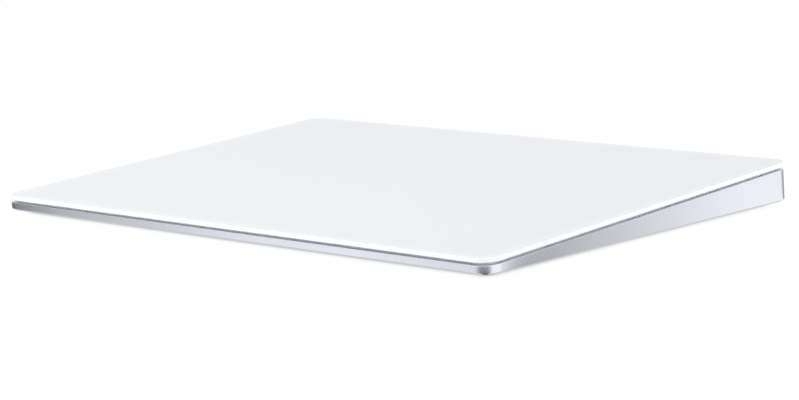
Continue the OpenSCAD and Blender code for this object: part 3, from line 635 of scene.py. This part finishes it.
def roundedPlateTree():
    tree, given = startTree("rounded plate", plateSockets)
    lowerEdge, upperEdge, radius = given["Lower Edge"], given["Upper Edge"], given["Corner Radius"]
    sheet = insetLoop(tree, given["Width"], given["Depth"], radius, lowerEdge, given["Corner Steps"])
    sheet = merged(tree, addOut(tree, "GeometryNodeFillCurve", {"Curve": sheet}, mode="NGONS"))
    # outward direction on the outline, from the rectangle through the corner centres
    place = addOut(tree, "GeometryNodeInputPosition")
    halves = [times(tree, given[key], 0.5) for key in ("Width", "Depth")]
    x, y = [minus(tree, half, radius) for half in halves]
    direction = vectorCalc(tree, "NORMALIZE", pastCore(tree, place, combine(tree, x=x, y=y, z=coreHeight)))
    outward = vectorCalc(tree, "MULTIPLY", direction, vectorCalc(tree, "SIGN", place))
    # steps out and up: the lower round, the straight side and the upper round
    turns = [math.pi / 2 * k / plateEdgeSteps for k in range(plateEdgeSteps + 1)]
    sines = [math.sin(b) - math.sin(a) for a, b in zip(turns, turns[1:])]
    cosines = [math.cos(a) - math.cos(b) for a, b in zip(turns, turns[1:])]
    steps = [(times(tree, lowerEdge, out), times(tree, lowerEdge, up)) for out, up in zip(sines, cosines)]
    steps.append((0.0, minus(tree, given["Thickness"], calc(tree, "ADD", lowerEdge, upperEdge))))
    steps += [(times(tree, upperEdge, -back), times(tree, upperEdge, up)) for back, up in zip(cosines, sines)]
    grown, top = sheet, True
    for out, up in steps:
        pulled = addNode(tree, "GeometryNodeExtrudeMesh", {"Mesh": grown, "Selection": top,
                                                           "Offset Scale": 0.0}, mode="FACES").outputs
        top = pulled["Top"]
        offset = vectorCalc(tree, "ADD", vectorCalc(tree, "SCALE", outward, out), combine(tree, z=up))
        grown = addOut(tree, "GeometryNodeSetPosition", {"Geometry": pulled["Mesh"], "Selection": top,
                                                         "Offset": offset})
    base = addOut(tree, "GeometryNodeFlipFaces", {"Mesh": sheet})
    addNode(tree, "NodeGroupOutput", {0: merged(tree, joinAll(tree, [grown, base]))})
    return tree


plateTree = roundedPlateTree()
unscaled = ("Corner Steps", "Tilt")     # a count and an angle: all other sizes are millimetres


def inMetres(sizes):
    return {key: value if key in unscaled or isSocket(value) else value * mm for key, value in sizes.items()}


def addPlate(tree, sizes):
    return addOut(tree, "GeometryNodeGroup", inMetres(sizes), node_tree=plateTree)


def startPlateTree(name, **sockets):
    tree, given = startTree(name, {**sockets, **plateSockets})
    return tree, addPlate(tree, {key: given[key] for key in plateSockets}), given


def growPiece(name, tree, sizes, points=()):
    mesh = bpy.data.meshes.new(name + "Places")
    mesh.from_pydata([tuple(Vector(point) * mm) for point in points], [], [])
    carrier = newPiece(name + "Carrier", mesh)
    grower = carrier.modifiers.new("grow", "NODES")
    grower.node_group = tree
    values = inMetres(sizes)
    for item in tree.interface.items_tree:
        if item.item_type == "SOCKET" and item.in_out == "INPUT" and item.name in values:
            grower[item.identifier] = values[item.name]
    graph = bpy.context.evaluated_depsgraph_get()
    grown = bpy.data.meshes.new_from_object(carrier.evaluated_get(graph), preserve_all_data_layers=True,
                                            depsgraph=graph)
    grown.name = name
    carrier.modifiers.clear()
    bpy.data.objects.remove(carrier)
    bpy.data.meshes.remove(mesh)
    softenEdges(grown)
    return newPiece(name, grown)


def growPlate(name, sizes, slot, place, turn):
    tree, plate = startPlateTree(name)[:2]
    endTree(tree, moved(tree, plate, place, turn), slot)
    return growPiece(name, tree, sizes)


def growPlates(name, sizes, slot, points):
    tree, plate, given = startPlateTree(name, Geometry="Geometry")
    endTree(tree, onPoints(tree, given["Geometry"], plate), slot)
    return growPiece(name, tree, sizes, points)


# glass plate
glassSizes = {"Width": body["width"], "Depth": glassDepth, "Corner Radius": body["cornerRadius"],
              "Thickness": body["glass"], "Lower Edge": 0.16, "Upper Edge": 0.16, "Corner Steps": 24}
glassPlate = growPlate("glassPlate", glassSizes, "white_glass",
                       padPoint(0, glassDepth / 2, -body["glass"]), alongGlass)
evenShading(glassPlate)
settle(glassPlate, "pad", "white_glass", "glass_plate")
print("glass:", len(glassPlate.data.polygons), "faces")

# pale skirt under the edge of the glass, just inside the rim, which closes the slot to the eye
sealSizes = {"Inset": 2.2, "Width": 0.4, "Height": 1.1, "Round": 0.12, "Outline Width": body["width"],
             "Outline Depth": glassDepth, "Corner Radius": body["cornerRadius"]}
sealSteps = {"corner": 16, "edge": 4}


def makeSeal():
    tree, given = startTree("edge seal", dict.fromkeys(sealSizes, "Float"))
    path = insetLoop(tree, given["Outline Width"], given["Outline Depth"], given["Corner Radius"],
                     given["Inset"], sealSteps["corner"])
    skirt = roundedLoop(tree, given["Width"], given["Height"], given["Round"], sealSteps["edge"])
    middle = padPoint(0, glassDepth / 2, -body["glass"] - sealSizes["Height"] / 2)
    endTree(tree, moved(tree, sweep(tree, path, skirt), middle, alongGlass), "bonding_film")
    settle(growPiece("edgeSeal", tree, sealSizes), "pad", "bonding_film")


makeSeal()

# rubber feet
footSizes = {"Width": 10.0, "Depth": 10.0, "Corner Radius": 4.999,
             "Thickness": body["underside"] + caseSizes["footSeat"][1],
             "Lower Edge": 0.3, "Upper Edge": 0.02, "Corner Steps": 16}
rubberFeet = growPlates("rubberFeet", footSizes, "foot_rubber", [(*place, 0) for place in footPlaces])
settle(rubberFeet, "case", "foot_rubber",
       *["foot_" + end + "_" + side for end in ("front", "rear") for side in ("left", "right")])
print("seal and feet")

# charging port in the rear wall
portSizes = {
    "shell": (8.9, 3.2, 7.0, 0.3),      # width, height, length, wall
    "recess": 0.45,                     # of the mouth behind the wall's face at the top of the shell
    "lip": (0.13, 4),                   # radius and steps of the mouth's round edge
    "plug": (8.26, 2.56, 1.8),          # width, height, length
    "tongue": (6.7, 0.7, 0.6),          # width, thickness, set back from the mouth
    "contactCount": 6,
    "contactInset": 0.5,                # from the tongue's end
    "steps": 24,
}
portMouth = wallY(body["rearMiddle"] + portSizes["shell"][1] / 2) - portSizes["recess"]
tongueSizes = {"Corner Radius": 0.5, "Lower Edge": 0.12, "Upper Edge": 0.12, "Corner Steps": 8}
contactSizes = {"Width": 0.5, "Depth": 3.4, "Corner Radius": 0.12, "Thickness": 0.05, "Lower Edge": 0.005,
                "Upper Edge": 0.02, "Corner Steps": 3}


def portRing(width, height, depth):
    return [Vector((px, portMouth - depth, body["rearMiddle"] + pz)) * mm
            for px, pz in stadiumOutline(width, height, portSizes["steps"])]


def makePortShell():
    width, height, length, wall = portSizes["shell"]
    profile = roundedProfile([(0, length), (0, 0), (wall, 0), (wall, length)], *portSizes["lip"])
    rings = [portRing(width - 2 * inset, height - 2 * inset, depth) for inset, depth in profile]
    mesh = meshFromRings("portShell", rings + rings[:1], capped=False)
    softenEdges(mesh)
    settle(newPiece("portShell", mesh, finishes["port_steel"]), "case", "port_steel", "port_shell")


def makePortTongue():
    width, thickness, recess = portSizes["tongue"]
    plugWidth, plugHeight, plugLength = portSizes["plug"]
    end = portSizes["shell"][2]
    length = end - recess - plugLength / 2
    middle = Vector((0, portMouth - recess - length / 2, body["rearMiddle"] - thickness / 2)) * mm
    sizes = {**tongueSizes, "Width": width, "Depth": length, "Thickness": thickness}
    piece = growPlate("portTongue", sizes, "port_plastic", middle, (0, 0, 0))
    rings = [portRing(plugWidth, plugHeight, depth) for depth in (end - plugLength, end)]
    applyBoolean(piece, newPiece("portPlug", meshFromRings("portPlug", rings)), "UNION")
    dress(piece.data, finishes["port_plastic"])
    softenEdges(piece.data)
    settle(piece, "case", "port_plastic", "port_tongue")


def makePortContacts():
    width, thickness, recess = portSizes["tongue"]
    count = portSizes["contactCount"]
    y = portMouth - recess - portSizes["contactInset"] - contactSizes["Depth"] / 2
    points = [((i + 0.5) * width / count - width / 2, y, body["rearMiddle"] + z)
              for z in (thickness / 2, -thickness / 2 - contactSizes["Thickness"]) for i in range(count)]
    piece = growPlates("portContacts", contactSizes, "gold_contact", points)
    settle(piece, "case", "gold_contact", "port_contacts")


makePortShell()
makePortTongue()
makePortContacts()

# knob of the power switch, at rest, with the coloured tab behind it
switchSizes = {"faceGap": 0.8, "knobGap": 0.3, "proud": 0.15, "stemLength": 1.6, "stemBite": 0.1,
               "tabOffset": 1.85}
switchFace = wallY(body["rearMiddle"]) - body["wall"] / slopeCos - switchSizes["faceGap"]
knobX = body["switchX"] - body["switchTravel"] / 2
knobBack = switchFace + switchSizes["knobGap"]
stemEnd = switchFace - switchSizes["stemLength"]
knobSizes = {"Width": 4.4, "Depth": 2.2, "Corner Radius": 0.99, "Lower Edge": 0.05, "Upper Edge": 0.30,
             "Corner Steps": 12}
knobSizes["Thickness"] = wallY(body["rearMiddle"] + knobSizes["Depth"] / 2) + switchSizes["proud"] - knobBack
stemSizes = {"Width": 1.0, "Depth": 1.0, "Corner Radius": 0.15, "Lower Edge": 0.1, "Upper Edge": 0.02,
             "Thickness": knobBack - stemEnd + switchSizes["stemBite"], "Corner Steps": 4}
tabSizes = {"Width": 6.9, "Depth": 2.5, "Corner Radius": 0.5, "Thickness": 0.08, "Lower Edge": 0.01,
            "Upper Edge": 0.01, "Corner Steps": 6}


def switchPoint(x, y):
    return Vector((x, y, body["rearMiddle"])) * mm


def makeKnob():
    tree, cap = startPlateTree("switch knob")[:2]
    parts = [moved(tree, part, switchPoint(knobX, y), fromRearWall)
             for part, y in ((cap, knobBack), (addPlate(tree, stemSizes), stemEnd))]
    endTree(tree, joinAll(tree, parts), "knob_aluminium")
    settle(growPiece("switchKnob", tree, knobSizes), "power_switch", "knob_aluminium", "switch_knob")


def makeSwitchTab():
    place = switchPoint(knobX + switchSizes["tabOffset"], knobBack - tabSizes["Thickness"])
    piece = growPlate("switchTab", tabSizes, "switch_green", place, fromRearWall)
    settle(piece, "power_switch", "switch_green")


makeKnob()
makeSwitchTab()
print("port and switch")

# screws, those of the springs and the engine square to the glass
screwSizes = {"Head Radius": 1.15, "Head Height": 0.35, "Shank Radius": 0.6, "Shank Length": 1.0,
              "Recess Length": 1.3, "Recess Width": 0.26, "Recess Depth": 0.2, "Tilt": 0.0}
screwRule = {
    "headSteps": 10,
    "headShare": 0.9998,        # corner radius over head radius, so that the plate keeps four sides
    "headRound": 0.5,           # share of the head's height
    "headLower": 0.02,
    "shankSides": 24,
    "shankDrop": 0.499,         # share of the shank's length, a little into the head
    "spin": 1.57,               # radians at most
    "seed": 7,
}


def makeScrewTree():
    tree, given = startTree("screws", {"Geometry": "Geometry", **dict.fromkeys(screwSizes, "Float")})
    radius, height = given["Head Radius"], given["Head Height"]
    across = times(tree, radius, 2.0)
    head = addPlate(tree, {"Width": across, "Depth": across, "Thickness": height,
                           "Corner Radius": times(tree, radius, screwRule["headShare"]),
                           "Lower Edge": screwRule["headLower"],
                           "Upper Edge": times(tree, height, screwRule["headRound"]),
                           "Corner Steps": screwRule["headSteps"]})
    size = combine(tree, x=given["Recess Length"], y=given["Recess Width"],
                   z=times(tree, given["Recess Depth"], 2.0))
    bar = addOut(tree, "GeometryNodeMeshCube", {"Size": size})
    cut = addNode(tree, "GeometryNodeMeshBoolean", {"Mesh 1": head}, operation="DIFFERENCE", solver="EXACT")
    for turn in (0, math.pi / 2):
        tree.links.new(moved(tree, bar, combine(tree, z=height), (0, 0, turn)), cut.inputs["Mesh 2"])
    shank = addOut(tree, "GeometryNodeMeshCylinder", {
        "Vertices": screwRule["shankSides"], "Radius": given["Shank Radius"], "Depth": given["Shank Length"]})
    drop = times(tree, given["Shank Length"], -screwRule["shankDrop"])
    screw = joinAll(tree, [cut.outputs["Mesh"], moved(tree, shank, combine(tree, z=drop))])
    placed = onPoints(tree, given["Geometry"], screw, combine(tree, x=given["Tilt"]))
    spin = addOut(tree, "FunctionNodeRandomValue", {"Min": (0, 0, 0), "Max": (0, 0, screwRule["spin"]),
                                                    "Seed": screwRule["seed"]}, data_type="FLOAT_VECTOR")
    placed = addOut(tree, "GeometryNodeRotateInstances", {"Instances": placed, "Rotation": spin,
                                                          "Local Space": True})
    return endTree(tree, placed, "screw_steel")


screwTree = makeScrewTree()


def makeScrews(name, sets, tilt, stoodFor):
    points = [screwSets[key]["matrix"] @ (Vector((*place, screwSets[key]["top"])) * mm) / mm
              for key in sets for place in screwSets[key]["places"]]
    piece = growPiece(name, screwTree, {**screwSizes, "Tilt": tilt}, points)
    settle(piece, "case", "screw_steel", *stoodFor)


makeScrews("tiltedScrews", ("leaf", "engine"), slope, ("leaf_screws", "haptic_screws"))
makeScrews("uprightScrews", ("logic", "rear"), 0.0, ("logic_screws", "rear_screws"))

# turns of the coil, side by side from its window outward
coilSizes = {"Window Width": 10.0, "Window Depth": 8.0, "Window Radius": 1.0, "Outer Radius": 5.6,
             "Winding": 7.0, "Height": 0.75}
coilRule = {"turns": 14, "wireSides": 12, "cornerSteps": 10}


def makeCoil():
    tree, given = startTree("coil turns", dict.fromkeys(coilSizes, "Float"))
    count = coilRule["turns"]
    pitch = calc(tree, "DIVIDE", given["Winding"], float(count))
    wire = addOut(tree, "GeometryNodeCurvePrimitiveCircle", {"Resolution": coilRule["wireSides"],
                                                             "Radius": 1.0})
    section = combine(tree, x=times(tree, pitch, 0.5), y=times(tree, given["Height"], 0.5), z=1.0)
    wire = addOut(tree, "GeometryNodeTransform", {"Geometry": wire, "Scale": section})
    grow = minus(tree, given["Outer Radius"], given["Window Radius"])
    turns = []
    for i in range(count):
        out = times(tree, pitch, 2 * i + 1.0)
        radius = calc(tree, "ADD", given["Window Radius"], times(tree, grow, (i + 0.5) / count))
        width, depth = [calc(tree, "ADD", given[key], out) for key in ("Window Width", "Window Depth")]
        turns.append(roundedLoop(tree, width, depth, radius, coilRule["cornerSteps"]))
    winding = sweep(tree, joinAll(tree, turns), wire)
    middle = padPoint(0, engineV, engine["top"] + coilSizes["Height"] / 2)
    endTree(tree, moved(tree, winding, middle, alongGlass), "copper_winding")
    settle(growPiece("hapticCoil", tree, coilSizes), "case", "copper_winding", "haptic_coil")


makeCoil()
print("screws and coil")

# springs, gauges and ribbon have one end on the case and the other on the pad, which goes down; here they are
# only cut across into slices between the two
bendSizes = {
    "springRoot": leafBase["x"] - leafBase["length"] / 2,
    "springTip": 58.2,
    "ribbonRoot": -17.15,       # where the ribbon leaves its socket, and where it meets the pad's board
    "ribbonTip": -9.56,
    "cuts": 12,
}


def makeBendingPiece(name, node, start, end):
    start, end = Vector(start) * mm, Vector(end) * mm
    shape = bmesh.new()
    shape.from_mesh(frame["nodes"][node].data)
    bmesh.ops.remove_doubles(shape, verts=shape.verts, dist=mergeGap)
    for i in range(bendSizes["cuts"] + 1):
        bmesh.ops.bisect_plane(shape, geom=[*shape.verts, *shape.edges, *shape.faces], dist=mergeGap,
                               plane_co=start.lerp(end, i / bendSizes["cuts"]), plane_no=end - start)
    mesh = meshOf(name, shape)
    softenEdges(mesh)
    piece = newPiece(name, mesh, finishes[slotOf[node]])
    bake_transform(piece)
    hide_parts(node)


for end in ("Front", "Rear"):
    for side, sx in (("Left", -1), ("Right", 1)):
        root, tip = (sx * bendSizes["springRoot"], 0, 0), (sx * bendSizes["springTip"], 0, 0)
        for kind in ("leaf", "gauge"):
            node = kind + "_" + end.lower() + "_" + side.lower()
            makeBendingPiece(kind + end + side, node, root, tip)
makeBendingPiece("padRibbon", "pad_flex", (0, bendSizes["ribbonRoot"], 0), (0, bendSizes["ribbonTip"], 0))
print("springs, gauges and ribbon")

# stage, light and camera
stageLook = {
    "floorSize": 12.0,              # metres
    "floorColour": (0.93, 0.93, 0.93),
    "whiteShare": 0.96,             # how much of the floor is plain white, the rest takes light and shadow
    "whiteLevel": 1.025,            # of that share, so that the whole comes to white
    "paintedShadowDepth": 0.7,            # painted shadow: how dark the floor's white gets under the part's edge
    "paintedShadowPower": 4.5,
    "paintedShadowBand": (0.2, -6.0),     # from outside the painted shadow's outline to where it is darkest
    "shadow": (80.8, 57.55, 7.0),   # half width, half depth, corner radius of the painted shadow's outline
    "outline": (80.0, 57.45, 4.5),
    "reflectedUnderShade": 0.66,            # painted shade that only reflections show on the floor under the part
    "mirrorBand": (-0.5, 0.5),      # across the part's outline
    "ambient": 0.50,                # the world's strength as light, camera and reflections see it white
    # painted shades on the floor that only reflections show: each starts at a point of the part's outline and
    # runs outward, and its stops are places in millimetres across it with the white left there
    "shades": [
        {"start": (0, -57.4), "across": (1, -1.11), "outward": (0, -1),
         "stops": [(-100, 0.13), (-79, 0.15), (-73, 0.27), (-59, 0.48), (-26, 0.65), (8, 0.85), (40, 0.91),
                   (74, 0.78), (86, 0.74), (92, 1.0)]},
        {"start": (77.2, -54.7), "across": (0.857, 0.515), "outward": (0.515, -0.857), "fan": True,
         "reach": (30, 34.5),
         "stops": [(-1.2, 1.0), (-0.95, 0.80), (-0.65, 0.42), (-0.38, 0.21), (0.34, 0.20), (0.62, 0.46),
                   (0.95, 1.0)]},
        {"start": (80, 0), "across": (-1.28, 1), "outward": (1, 0),
         "stops": [(-57, 1.0), (-53, 0.80), (-51, 0.56), (-48, 0.40), (-43, 0.39), (-33, 0.46), (-11, 0.63),
                   (11, 0.80), (36, 0.96), (52, 1.0)]},
        {"start": (80, 57.4), "across": (1, -0.45), "outward": (0, 1),
         "stops": [(-180, 0.90), (-150, 0.55), (-100, 0.86), (-52, 0.80), (-32, 0.36), (-3, 0.28), (1, 1.0)]},
        {"start": (-80, 0), "across": (0, 1), "outward": (-1, 0),
         "stops": [(-62, 1.0), (-57, 0.22), (-45, 0.10), (-25, 0.16), (-5, 0.60), (20, 0.88), (45, 0.72),
                   (62, 0.50), (70, 1.0)]},
    ],
}


def whiteRays(tree):
    rays = addNode(tree, "ShaderNodeLightPath").outputs
    seen = calc(tree, "MAXIMUM", rays["Is Camera Ray"], rays["Is Glossy Ray"])
    return calc(tree, "MAXIMUM", seen, rays["Is Transmission Ray"]), rays["Is Glossy Ray"]


def floorShade(tree, place, shade):
    local = vectorCalc(tree, "SUBTRACT", place, Vector((*shade["start"], 0)) * mm)
    spot = vectorCalc(tree, "DOT_PRODUCT", local, (*shade["across"], 0))
    out = vectorCalc(tree, "DOT_PRODUCT", local, (*shade["outward"], 0))
    unit = mm
    if shade.get("fan"):        # stops are then slopes away from the outward line
        spot, unit = calc(tree, "DIVIDE", spot, out), 1
    places, levels = zip(*shade["stops"])
    low, high = places[0], places[-1]
    ramp = addNode(tree, "ShaderNodeValToRGB", {0: remap(tree, spot, 0, 1, low * unit, high * unit)})
    stops = ramp.color_ramp.elements
    for where in places[1:-1]:
        stops.new((where - low) / (high - low))
    for stop, level in zip(stops, levels):
        stop.color = (level, level, level, 1)
    outside = calc(tree, "GREATER_THAN", out, 0.0)
    if "reach" in shade:        # and it fades out there
        near, far = shade["reach"]
        outside = times(tree, outside, remap(tree, out, 1, 0, near * mm, far * mm))
    return blendLevels(tree, outside, 1.0, ramp.outputs[0])


def makeFloor():
    half = stageLook["floorSize"] / 2
    mesh = bpy.data.meshes.new("studioFloor")
    corners = [(-half, -half, 0), (half, -half, 0), (half, half, 0), (-half, half, 0)]
    mesh.from_pydata(corners, [], [(0, 1, 2, 3)])
    finish = bpy.data.materials.new("studio floor")
    finish.use_nodes = True
    tree = finish.node_tree
    tree.nodes.clear()
    paper = addOut(tree, "ShaderNodeBsdfDiffuse", {"Color": (*stageLook["floorColour"], 1)})
    seen, glossy = whiteRays(tree)
    place = addNode(tree, "ShaderNodeTexCoord").outputs["Object"]
    # painted contact shadow: the floor's white darkens by place under and just outside the part's outline
    shadow = outlineDistance(tree, place, *stageLook["shadow"])
    near, far = stageLook["paintedShadowBand"]
    under = calc(tree, "POWER", remap(tree, shadow, 0, 1, near * mm, far * mm), stageLook["paintedShadowPower"])
    paintedShadowLoss = times(tree, under, stageLook["paintedShadowDepth"])
    paintedShadowLevel = minus(tree, stageLook["whiteLevel"], paintedShadowLoss)
    away = outlineDistance(tree, place, *stageLook["outline"])
    near, far = stageLook["mirrorBand"]
    # painted reflections: the floor as reflections see it, darker under the part and under each shade
    paintedReflectionLevel = remap(tree, away, stageLook["reflectedUnderShade"], 1, near * mm, far * mm)
    for shade in stageLook["shades"]:
        paintedReflectionLevel = times(tree, paintedReflectionLevel, floorShade(tree, place, shade))
    level = blendLevels(tree, glossy, paintedShadowLevel, paintedReflectionLevel)
    white = addOut(tree, "ShaderNodeEmission", {"Color": (1, 1, 1, 1), "Strength": level})
    share = times(tree, seen, stageLook["whiteShare"])
    mixed = addOut(tree, "ShaderNodeMixShader", {0: share, 1: paper, 2: white})
    addNode(tree, "ShaderNodeOutputMaterial", {"Surface": mixed})
    floor = newPiece("studioFloor", mesh, finish)


def makeWorld():
    world = bpy.data.worlds.new("studio")
    scene.world = world
    world.use_nodes = True
    tree = world.node_tree
    tree.nodes.clear()
    strength = remap(tree, whiteRays(tree)[0], stageLook["ambient"], 1.0, 0.0, 1.0)
    sky = addOut(tree, "ShaderNodeBackground", {"Color": (1, 1, 1, 1), "Strength": strength})
    addNode(tree, "ShaderNodeOutputWorld", {"Surface": sky})


lamps = {
    "topSoftbox": {"place": (-160, -140, 650), "aim": (0, 0, 0), "size": (500, 500), "power": 1.62},
    "frontSoftbox": {"place": (-140, -600, 100), "aim": (0, -57, 4), "size": (400, 160), "power": 1.65},
    "rightSoftbox": {"place": (640, 150, 100), "aim": (80, 0, 5), "size": (400, 160), "power": 1.85},
}


def makeLamps():
    for name, lamp in lamps.items():
        light = bpy.data.lights.new(name, "AREA")
        light.shape = "RECTANGLE"
        light.size, light.size_y = lamp["size"][0] * mm, lamp["size"][1] * mm
        light.energy = lamp["power"]
        holder = bpy.data.objects.new(name, light)
        scene.collection.objects.link(holder)
        place = Vector(lamp["place"]) * mm
        holder.location = place
        holder.rotation_euler = (Vector(lamp["aim"]) * mm - place).to_track_quat("-Z", "Y").to_euler()
        holder.visible_camera = holder.visible_glossy = False


cameraView = {"azimuth": 42.596, "elevation": 9.205, "roll": -1.892, "distance": 627.34, "target": (0, 0, 5),
              "focalPixels": 2527.2, "imageWidth": 799, "shift": (0.0116, -0.0135), "clip": (10, 50000)}


def makeCamera():
    around, above, tilt = [math.radians(cameraView[key]) for key in ("azimuth", "elevation", "roll")]
    right = Vector((math.cos(around), math.sin(around), 0))
    back = Vector((math.sin(around) * math.cos(above), -math.cos(around) * math.cos(above), math.sin(above)))
    up = back.cross(right)
    across = math.cos(tilt) * right + math.sin(tilt) * up
    upward = math.cos(tilt) * up - math.sin(tilt) * right
    lens = bpy.data.cameras.new("productView")
    lens.lens = cameraView["focalPixels"] * lens.sensor_width / cameraView["imageWidth"]
    lens.shift_x, lens.shift_y = cameraView["shift"]
    lens.clip_start, lens.clip_end = [distance * mm for distance in cameraView["clip"]]
    holder = bpy.data.objects.new("productView", lens)
    scene.collection.objects.link(holder)
    turn = Matrix((across, upward, back)).transposed().to_4x4()
    spot = (Vector(cameraView["target"]) + back * cameraView["distance"]) * mm
    holder.matrix_world = Matrix.Translation(spot) @ turn
    scene.camera = holder


makeFloor()
makeWorld()
makeLamps()
makeCamera()
scene.view_settings.view_transform = "Standard"
print("stage ready")
